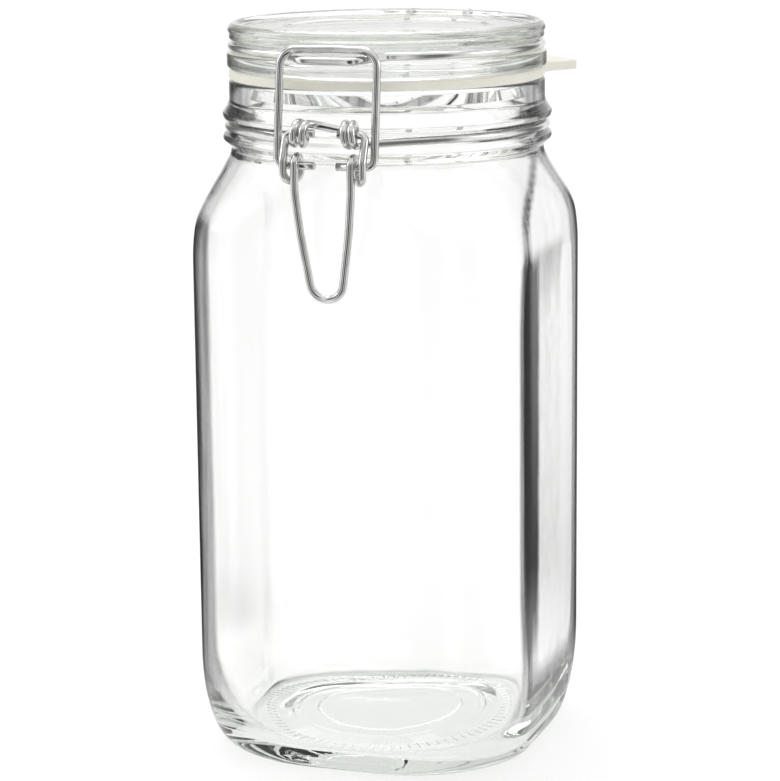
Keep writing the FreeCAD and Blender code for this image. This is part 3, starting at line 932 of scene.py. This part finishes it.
def bent(points: Sequence[Vector], bends: Sequence[float], step: float = 12.0) -> list[Vector]:
    """Straight runs through points, with a round bend at each inner one.

    Args:
        points: The runs' corners.
        bends: Bend radius at each inner corner.
        step: Largest angle between points on a bend, in degrees.

    Returns:
        Points along the bent line.
    """
    line = [points[0]]
    for before, corner, after, bend in zip(points, points[1:], points[2:], bends):
        back = (before - corner).normalized()
        ahead = (after - corner).normalized()
        half_turn = (math.pi - back.angle(ahead)) / 2
        centre = corner + (back + ahead).normalized() * (bend / math.cos(half_turn))
        first = corner + back * (bend * math.tan(half_turn)) - centre
        turn_axis = back.cross(first).normalized()
        count = max(2, math.ceil(math.degrees(2 * half_turn) / step))
        for part in range(count + 1):
            swing = Matrix.Rotation(2 * half_turn * part / count, 3, turn_axis)
            line.append(centre + swing @ first)
    line.append(points[-1])
    return line


def mirrored(line: Sequence[Vector]) -> list[Vector]:
    """The same line on the other side of the middle, run backwards."""
    return [Vector((-point.x, point.y, point.z)) for point in reversed(line)]


@dataclass
class ClipWire:
    """What all four wires share: the wire and the places where they meet."""

    finish: bpy.types.Material
    radius: float = 1.2 * MM
    neck_height: float = 191.1 * MM
    neck_ring: float = 48.3 * MM
    lid_height: float = 215.2 * MM
    lid_ring: float = 47.0 * MM
    eye_front: float = 54.2 * MM
    eye_height: float = 193.698 * MM
    eye_radius: float = 3.2 * MM
    eye_step: float = 22.5
    pin_front: float = 54.9 * MM
    pin_height: float = 184.498 * MM
    hinge_back: float = 53.4 * MM
    hinge_height: float = 217.6 * MM
    hinge_half: float = 9.5 * MM

    def tube(self, name: str, line: Sequence[Vector], node: str, body: str,
             loop: bool = False) -> bpy.types.Object:
        """Draw wire along a line and dress it.

        Args:
            name: The piece's name.
            line: Points that the wire's centre follows.
            node: The CAD node that the wire stands for.
            body: The body that it moves with.
            loop: Join the wire's ends.

        Returns:
            The wire as a mesh piece.
        """
        curve = bpy.data.curves.new(name + "_line", "CURVE")
        curve.dimensions = "3D"
        spline = curve.splines.new("NURBS")
        spline.points.add(len(line) - 1)
        for point, place in zip(spline.points, line):
            point.co = (*place, 1.0)
        spline.order_u = 4
        spline.use_endpoint_u = not loop
        spline.use_cyclic_u = loop
        spline.resolution_u = 3
        curve.bevel_depth = self.radius
        curve.bevel_resolution = 5
        curve.use_fill_caps = not loop
        drawn = bpy.data.objects.new(name + "_line", curve)
        bpy.context.scene.collection.objects.link(drawn)
        bpy.context.view_layer.update()
        graph = bpy.context.evaluated_depsgraph_get()
        mesh = bpy.data.meshes.new_from_object(drawn.evaluated_get(graph))
        bpy.data.objects.remove(drawn)
        skin = bmesh.new()
        skin.from_mesh(mesh)
        bpy.data.meshes.remove(mesh)
        bmesh.ops.remove_doubles(skin, verts=skin.verts[:], dist=HAIR)
        bmesh.ops.recalc_face_normals(skin, faces=skin.faces[:])
        piece = piece_from(skin, name)
        piece.data.materials.clear()
        piece.data.materials.append(self.finish)
        for face in piece.data.polygons:
            face.use_smooth = len(face.vertices) == 4
        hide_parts(node)
        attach(piece, body)
        return piece

    def arc(self, radius: float, height: float, start: float, end: float, step: float = 5.0
            ) -> list[Vector]:
        """Points on a level circle round the jar's axis.

        Args:
            radius: The circle's radius.
            height: Its height.
            start: First angle in degrees, from +X towards +Y.
            end: Last angle.
            step: Largest angle between points.

        Returns:
            The points.
        """
        count = max(2, math.ceil(abs(end - start) / step))
        line = []
        for part in range(count + 1):
            angle = math.radians(start + (end - start) * part / count)
            line.append(Vector((radius * math.cos(angle), radius * math.sin(angle), height)))
        return line

    def eye(self, start: Vector, turns: tuple[float, float], end_across: float) -> list[Vector]:
        """Close turns of wire round the lever's axis.

        Args:
            start: Middle of the first turn; only its place along the axis counts.
            turns: First and last angle in degrees: 0 behind, 90 above, 180 in front.
            end_across: Place along the axis where the turns end.

        Returns:
            Points along the turns.
        """
        count = max(4, math.ceil(abs(turns[1] - turns[0]) / self.eye_step))
        line = []
        for part in range(count + 1):
            share = part / count
            angle = math.radians(turns[0] + (turns[1] - turns[0]) * share)
            line.append(Vector((
                start.x + (end_across - start.x) * share,
                -self.eye_front + self.eye_radius * math.cos(angle),
                self.eye_height + self.eye_radius * math.sin(angle))))
        return line


@dataclass
class NeckWire(ClipWire):
    """The ring in the neck's groove, with two eyes in front and two behind."""

    hinge_eye: float = 3.0 * MM
    hinge_turn: float = 300.0
    hinge_points: int = 16
    hinge_bend: float = 3.0 * MM
    eye_outer: float = 9.5 * MM
    eye_inner: float = 5.6 * MM
    left_turns: tuple[float, float] = (-100.0, -610.0)
    right_turns: tuple[float, float] = (20.0, 640.0)
    lead_angle: float = 34.0
    lead_front: float = 51.2 * MM
    turn_in_front: float = 52.4 * MM

    def hinge_end(self, side: Side) -> list[Vector]:
        """Eye and riser behind the lid, from the wire's end down to the ring.

        Args:
            side: The side that the eye is on.

        Returns:
            Points along the wire.
        """
        across = self.hinge_half * side.value
        step = self.hinge_turn / (self.hinge_points - 1)
        line = []
        for part in range(self.hinge_points):
            angle = math.radians(self.hinge_turn - step * part)
            line.append(Vector((across, self.hinge_back - self.hinge_eye * math.cos(angle),
                                self.hinge_height + self.hinge_eye * math.sin(angle))))
        foot = Vector((across, self.hinge_back - self.hinge_eye, self.neck_height))
        reach = math.hypot(foot.x, foot.y)
        meet = math.degrees(math.atan2(abs(foot.x), foot.y) + math.acos(self.neck_ring / reach))
        bearing = math.radians(90.0 - side.value * meet)
        ring = Vector((self.neck_ring * math.cos(bearing), self.neck_ring * math.sin(bearing),
                       self.neck_height))
        return line + bent([line[-1], foot, ring], [self.hinge_bend])[1:]

    def eyes(self) -> list[Vector]:
        """The wire in front: in to the left eye, across to the right one and out again.

        Returns:
            Points along the wire.
        """
        low = self.eye_height - self.eye_radius
        leads = [Vector((-self.eye_outer - 3.0 * MM, -self.lead_front,
                         self.neck_height - 0.2 * MM)),
                 Vector((-self.eye_outer - 0.3 * MM, -self.turn_in_front, low + 0.05 * MM))]
        left = self.eye(Vector((-self.eye_outer, 0, 0)), self.left_turns, -self.eye_inner)
        right = self.eye(Vector((self.eye_inner, 0, 0)), self.right_turns, self.eye_outer)
        bridge = [Vector((-self.eye_inner + 1.4 * MM, -52.6 * MM, 196.2 * MM)),
                  Vector((0.0, -51.9 * MM, 195.3 * MM)),
                  Vector((self.eye_inner - 1.5 * MM, -51.2 * MM, 194.4 * MM))]
        return leads + left + bridge + right + mirrored(leads)

    def line(self) -> list[Vector]:
        """The wire's whole run, from one hinge eye round the front to the other.

        Returns:
            Points along the wire.
        """
        left = self.hinge_end(Side.LEFT)
        right = self.hinge_end(Side.RIGHT)
        start = math.degrees(math.atan2(left[-1].y, left[-1].x))
        end = math.degrees(math.atan2(right[-1].y, right[-1].x))
        front = 270.0 - self.lead_angle
        side = self.arc(self.neck_ring, self.neck_height, start, front)
        other = self.arc(self.neck_ring, self.neck_height, -90.0 + self.lead_angle, end)
        return left + side[1:] + self.eyes() + other[:-1] + right[::-1]

    def build(self) -> bpy.types.Object:
        """Draw the wire as a piece."""
        return self.tube("neck_ring_wire", self.line(), "neck_wire", "jar")


@dataclass
class LidWire(ClipWire):
    """The ring in the lid's groove, with the catch in front and the hinge pin behind."""

    catch_front: float = 53.1 * MM
    catch_half: float = 8.0 * MM
    catch_dip: float = 0.8 * MM
    catch_root: float = 22.0
    catch_lead: float = 2.5 * MM
    catch_bend: float = 4.0 * MM
    pin_half: float = 13.0 * MM
    pin_lead: float = 3.0 * MM
    pin_bends: tuple[float, float] = (12.0 * MM, 3.0 * MM)

    def line(self) -> list[Vector]:
        """The closed run of the wire, from the catch round by the right.

        Returns:
            Points along the wire.
        """
        ring = self.lid_ring
        level = self.lid_height
        reach = math.hypot(self.pin_half, self.hinge_back)
        meet = math.atan2(self.pin_half, self.hinge_back) + math.acos(ring / reach)
        back = Vector((ring * math.sin(meet), ring * math.cos(meet), level))
        corner = Vector((self.pin_half, self.hinge_back, level))
        pin = Vector((self.pin_half, self.hinge_back, self.hinge_height))
        lead = back + (corner - back).normalized() * self.pin_lead
        behind = bent([back, lead, pin] + mirrored([back, lead, pin]),
                      self.pin_bends + self.pin_bends[::-1])
        root = math.radians(self.catch_root)
        front = Vector((ring * math.sin(root), -ring * math.cos(root), level))
        catch = Vector((self.catch_half, -self.catch_front, level - self.catch_dip))
        lead = front + Vector((-math.cos(root), -math.sin(root), 0)) * self.catch_lead
        ahead = bent([front, lead, catch] + mirrored([front, lead, catch]),
                     [self.catch_bend] * 4)
        back_at = math.degrees(math.atan2(back.y, back.x))
        right = self.arc(ring, level, -90.0 + self.catch_root, back_at)
        left = self.arc(ring, level, 180.0 - back_at, 270.0 - self.catch_root)
        return right[:-1] + behind + left[1:-1] + mirrored(ahead)[::-1]

    def build(self) -> bpy.types.Object:
        """Draw the wire as a piece."""
        return self.tube("lid_ring_wire", self.line(), "lid_wire", "jar", loop=True)


@dataclass
class Bail(ClipWire):
    """The frame that hooks over the catch, its ends turning in the lever's hooks."""

    half: float = 14.8 * MM
    bar_front: float = 50.9 * MM
    bar_height: float = 217.4 * MM
    top_bend: float = 5.0 * MM
    foot_bend: float = 2.4 * MM
    pin_end: float = 3.4 * MM
    arch: float = 0.25 * MM
    arch_bend: float = 40.0 * MM

    def line(self) -> list[Vector]:
        """The run of the wire, from one pin's end to the other's.

        Returns:
            Points along the wire.
        """
        foot = Vector((0.0, -self.pin_front, self.pin_height))
        top = Vector((0.0, -self.bar_front, self.bar_height))
        side = [Vector((self.pin_end, 0, 0)) + foot, Vector((self.half, 0, 0)) + foot,
                Vector((self.half, 0, 0)) + top]
        middle = Vector((0.0, top.y, top.z + self.arch))
        corners = side + [middle] + mirrored(side)
        return bent(corners, [self.foot_bend, self.top_bend, self.arch_bend, self.top_bend,
                              self.foot_bend])

    def build(self) -> bpy.types.Object:
        """Draw the wire as a piece."""
        return self.tube("bail_wire", self.line(), "bail", "bail")


@dataclass
class Lever(ClipWire):
    """The lever, whose ends turn in the neck wire's eyes and whose hooks hold the bail."""

    stub_end: float = 3.6 * MM
    link_half: float = 12.1 * MM
    link_knee: float = 8.0 * MM
    link_drop: float = 13.7 * MM
    link_bend: float = 1.8 * MM
    turn_bend: float = 3.2 * MM
    hook_half: float = 8.6 * MM
    hook_bend: float = 2.65 * MM
    gap: float = 0.3 * MM
    arm_top: float = 177.0 * MM
    arm_bends: tuple[float, float, float] = (20.0 * MM, 30.0 * MM, 25.0 * MM)
    foot_half: float = 4.4 * MM
    foot_height: float = 145.7 * MM
    foot_front: float = 55.0 * MM
    foot_bend: float = 5.0 * MM

    def line(self) -> list[Vector]:
        """The run of the wire, from one stub's end round the foot to the other's.

        Returns:
            Points along the wire.
        """
        clear = 2 * self.radius + self.gap
        front = -self.pin_front - clear
        rear = -self.pin_front + clear
        drop = self.eye_height - self.link_drop
        over = self.pin_height + clear
        stub = [Vector((across, -self.eye_front, self.eye_height))
                for across in (self.stub_end, self.link_half)]
        link = [Vector((self.link_half, front, self.eye_height - self.link_knee)),
                Vector((self.link_half, front, drop))]
        hook = [Vector((self.hook_half, rear, drop)), Vector((self.hook_half, rear, over)),
                Vector((self.hook_half, front, over))]
        arm = [Vector((self.hook_half, front, self.arm_top)),
               Vector((7.4 * MM, front + 0.9 * MM, 165.0 * MM)),
               Vector((5.6 * MM, front + 2.0 * MM, 153.5 * MM))]
        foot = Vector((self.foot_half, -self.foot_front, self.foot_height))
        side = stub + link + hook + arm + [foot]
        bends = [self.link_bend, *[self.turn_bend] * 3, *[self.hook_bend] * 2, *self.arm_bends,
                 self.foot_bend]
        return bent(side + mirrored(side), bends + bends[::-1])

    def build(self) -> bpy.types.Object:
        """Draw the wire as a piece."""
        return self.tube("lever_wire", self.line(), "lever", "lever")


# ------------------------------------------------------------------ studio


@dataclass(frozen=True)
class Flags:
    """Dark flags that stand upright between the studio's four open sides.

    Each pair or triple is a range of direction, then how bright its dark end is.
    """

    heading: float
    open_above: tuple[float, float] = (0.35, 0.75)
    through: Ramp = (-0.9, 0.2, 0.86)
    mirrored: Ramp = (-0.95, -0.10, 0.20)
    by_lens: Ramp = (0.12, 0.50, 0.05)

    def group(self) -> bpy.types.ShaderNodeTree:
        """How bright the studio is each way.

        Returns:
            A group with input Way, a direction, and outputs Through, for light seen through
            glass, and Mirrored, for light seen in a bright surface.
        """
        group = bpy.data.node_groups.get("studio_sides")
        if group:
            return group
        group = bpy.data.node_groups.new("studio_sides", "ShaderNodeTree")
        group.interface.new_socket("Way", in_out="INPUT", socket_type="NodeSocketVector")
        for name in ("Through", "Mirrored"):
            group.interface.new_socket(name, in_out="OUTPUT", socket_type="NodeSocketFloat")
        nodes = Nodes(group)
        way = nodes.add("NodeGroupInput").outputs["Way"]
        turned = nodes.add("ShaderNodeVectorRotate", rotation_type="Z_AXIS", Vector=way,
                           Angle=math.radians(-self.heading))
        split = nodes.add("ShaderNodeSeparateXYZ", Vector=turned.outputs[0]).outputs
        across, along = [nodes.math("MULTIPLY", split[axis], split[axis]) for axis in "XY"]
        level = nodes.math("MAXIMUM", nodes.math("ADD", across, along), HAIR)
        twofold = nodes.math("DIVIDE", nodes.math("SUBTRACT", along, across), level)
        fourfold = nodes.math("SUBTRACT", nodes.math("MULTIPLY", twofold, twofold, 2.0), 1.0)
        high = nodes.range(split["Z"], *self.open_above, 0.0, 1.0)
        side = nodes.math("ABSOLUTE", nodes.math("DIVIDE", split["X"],
                                                 nodes.math("SQRT", level)))
        beyond = nodes.math("SUBTRACT", 1.0, nodes.math("LESS_THAN", split["Y"], 0.0))
        beside_lens = nodes.math("MAXIMUM", nodes.range(side, *self.by_lens[:2], 0.0, 1.0),
                                 beyond, high)
        flags = nodes.math("MAXIMUM", nodes.range(fourfold, *self.mirrored, 1.0), high)
        nodes.add(
            "NodeGroupOutput",
            Through=nodes.math("MAXIMUM", nodes.range(fourfold, *self.through, 1.0), high),
            Mirrored=nodes.math("MULTIPLY", flags, nodes.range(
                beside_lens, 0.0, 1.0, self.by_lens[2], 1.0)))
        return group


@dataclass
class Studio:
    """Floor, world, lamps and camera."""

    heading: float = 19.0
    flag_swing: float = 10.0
    fill: float = 0.62
    distance: float = 868.95 * MM
    height: float = 289.69 * MM
    pitch: float = 11.82
    roll: float = -0.56
    lens: float = 132.1
    aim_height: float = 100.0 * MM
    floor_white: float = 0.9
    floor_glow: float = 0.12
    floor_half: float = 6.0
    floor_gap: float = 0.3 * MM
    # distance from the jar where the floor's painted flag shade begins
    flags_from: tuple[float, float] = (0.10, 0.24)

    def sides(self, nodes: Nodes, way: Socket) -> bpy.types.bpy_prop_collection:
        """Outputs of the studio's flags, placed in a tree."""
        flags = Flags(self.heading - self.flag_swing)
        return nodes.add("ShaderNodeGroup", node_tree=flags.group(), Way=way).outputs

    def floor(self) -> bpy.types.Object:
        """A wide pale floor that keeps the jar's shadow, with the flags carried across it as
        painted shade that shows only in reflections and through glass.

        Returns:
            The floor.
        """
        skin = bmesh.new()
        bmesh.ops.create_grid(skin, x_segments=1, y_segments=1, size=self.floor_half)
        bmesh.ops.translate(skin, verts=skin.verts, vec=(0.0, 0.0, -self.floor_gap))
        piece = piece_from(skin, "studio_floor")
        material, nodes = new_material("floor_white")
        place = nodes.add("ShaderNodeTexCoord").outputs["Object"]
        sides = self.sides(nodes, place)
        reach = nodes.fed("ShaderNodeVectorMath", {0: place}, operation="LENGTH")
        apart = nodes.range(reach.outputs["Value"], *self.flags_from, 0.0, 1.0)
        path = nodes.add("ShaderNodeLightPath").outputs
        # painted shade: away from the jar the floor takes the flags' darkness in reflections and
        # through glass
        flag_shade_tone = nodes.mix(nodes.math("MULTIPLY", apart, path["Is Glossy Ray"]), WHITE,
                         sides["Mirrored"])
        flag_shade_tone = nodes.mix(nodes.math("MULTIPLY", apart, path["Is Transmission Ray"]), flag_shade_tone,
                         sides["Through"])
        white = nodes.fed("ShaderNodeVectorMath", {0: flag_shade_tone}, operation="SCALE",
                          Scale=self.floor_white)
        paint = nodes.add("ShaderNodeBsdfDiffuse", Color=white.outputs[0])
        seen = nodes.math("MAXIMUM", path["Is Camera Ray"], path["Is Glossy Ray"],
                          path["Is Transmission Ray"])
        glow = nodes.add("ShaderNodeEmission", Color=flag_shade_tone,
                         Strength=nodes.math("MULTIPLY", seen, self.floor_glow))
        both = nodes.fed("ShaderNodeAddShader", {0: paint.outputs[0], 1: glow.outputs[0]})
        nodes.add("ShaderNodeOutputMaterial", Surface=both.outputs[0])
        piece.data.materials.append(material)
        return piece

    def world(self) -> None:
        """White behind the jar, with dark flags that glass and wire pick up."""
        world = bpy.data.worlds.new("studio")
        bpy.context.scene.world = world
        world.use_nodes = True
        world.node_tree.nodes.clear()
        nodes = Nodes(world.node_tree)
        way = nodes.add("ShaderNodeTexCoord").outputs["Generated"]
        sides = self.sides(nodes, way)
        path = nodes.add("ShaderNodeLightPath").outputs
        light = nodes.blend(path["Is Glossy Ray"], self.fill, sides["Mirrored"])
        light = nodes.blend(path["Is Transmission Ray"], light, sides["Through"])
        light = nodes.blend(path["Is Camera Ray"], light, 1.0)
        sky = nodes.add("ShaderNodeBackground", Color=WHITE, Strength=light)
        nodes.add("ShaderNodeOutputWorld", Surface=sky.outputs[0])

    def lamp(self, name: str, place: Vector, size: float, power: float) -> None:
        """Hang a square soft lamp that points at the jar's middle.

        Args:
            name: The lamp's name.
            place: Where it hangs.
            size: Its side.
            power: Its power in watts.
        """
        data = bpy.data.lights.new(name, "AREA")
        data.shape = "SQUARE"
        data.size = size
        data.energy = power
        lamp = bpy.data.objects.new(name, data)
        lamp.location = place
        aim = Vector((0.0, 0.0, self.aim_height)) - place
        lamp.rotation_euler = aim.to_track_quat("-Z", "Y").to_euler()
        bpy.context.scene.collection.objects.link(lamp)

    def sun(self, place: Vector, spread: float, power: float) -> None:
        """Add a far, soft lamp that lights the floor evenly.

        Args:
            place: The side that it shines from.
            spread: How wide it looks, in degrees.
            power: Its strength.
        """
        data = bpy.data.lights.new("sky_lamp", "SUN")
        data.angle = math.radians(spread)
        data.energy = power
        lamp = bpy.data.objects.new("sky_lamp", data)
        lamp.rotation_euler = (-place).to_track_quat("-Z", "Y").to_euler()
        bpy.context.scene.collection.objects.link(lamp)

    def camera(self) -> None:
        """Set up the camera, a little above the jar and to its right."""
        side = math.radians(self.heading)
        tip = math.radians(self.pitch)
        look = Vector((-math.sin(side) * math.cos(tip), math.cos(side) * math.cos(tip),
                       -math.sin(tip)))
        data = bpy.data.cameras.new("camera")
        data.lens = self.lens
        data.sensor_width = 36.0
        data.clip_start, data.clip_end = 0.01, 50.0
        camera = bpy.data.objects.new("camera", data)
        camera.location = (self.distance * math.sin(side), -self.distance * math.cos(side),
                           self.height)
        turn = look.to_track_quat("-Z", "Y").to_matrix().to_4x4()
        roll = Matrix.Rotation(math.radians(self.roll), 4, "Z")
        camera.rotation_euler = (turn @ roll).to_euler()
        bpy.context.scene.collection.objects.link(camera)
        bpy.context.scene.camera = camera

    def build(self) -> None:
        """Set up the whole studio."""
        self.floor()
        self.world()
        self.sun(Vector((-0.35, 0.45, 1.2)), 50.0, 1.35)
        self.lamp("left_lamp", Vector((-1.3, -0.2, 0.7)), 0.6, 2.4)
        self.lamp("right_lamp", Vector((1.2, 0.1, 0.6)), 0.5, 1.6)
        self.camera()
        scene = bpy.context.scene
        scene.view_settings.view_transform = "Standard"
        scene.cycles.max_bounces = 16
        scene.cycles.transmission_bounces = 16
        scene.cycles.transparent_max_bounces = 24
        scene.cycles.glossy_bounces = 8


def main() -> None:
    """Build the studio and the jar."""
    logging.basicConfig(level=logging.INFO, format="%(name)s: %(message)s")
    Studio().build()
    wire = PlatedWire().material()
    made = [
        GlassBody(ClearGlass("jar_clear", foot_marks=True)).build(),
        GlassLid(ClearGlass("lid_clear", ripple_scale=60.0, inner_shade=0.85,
                            shade_streak_scale=60.0, shade_streak_squash=14.0)).build(),
        *RubberRing(PaleRubber()).build(),
        NeckWire(wire).build(),
        LidWire(wire).build(),
        Bail(wire).build(),
        Lever(wire).build(),
    ]
    for piece in made:
        report(piece)


if __name__ == "__main__":
    main()
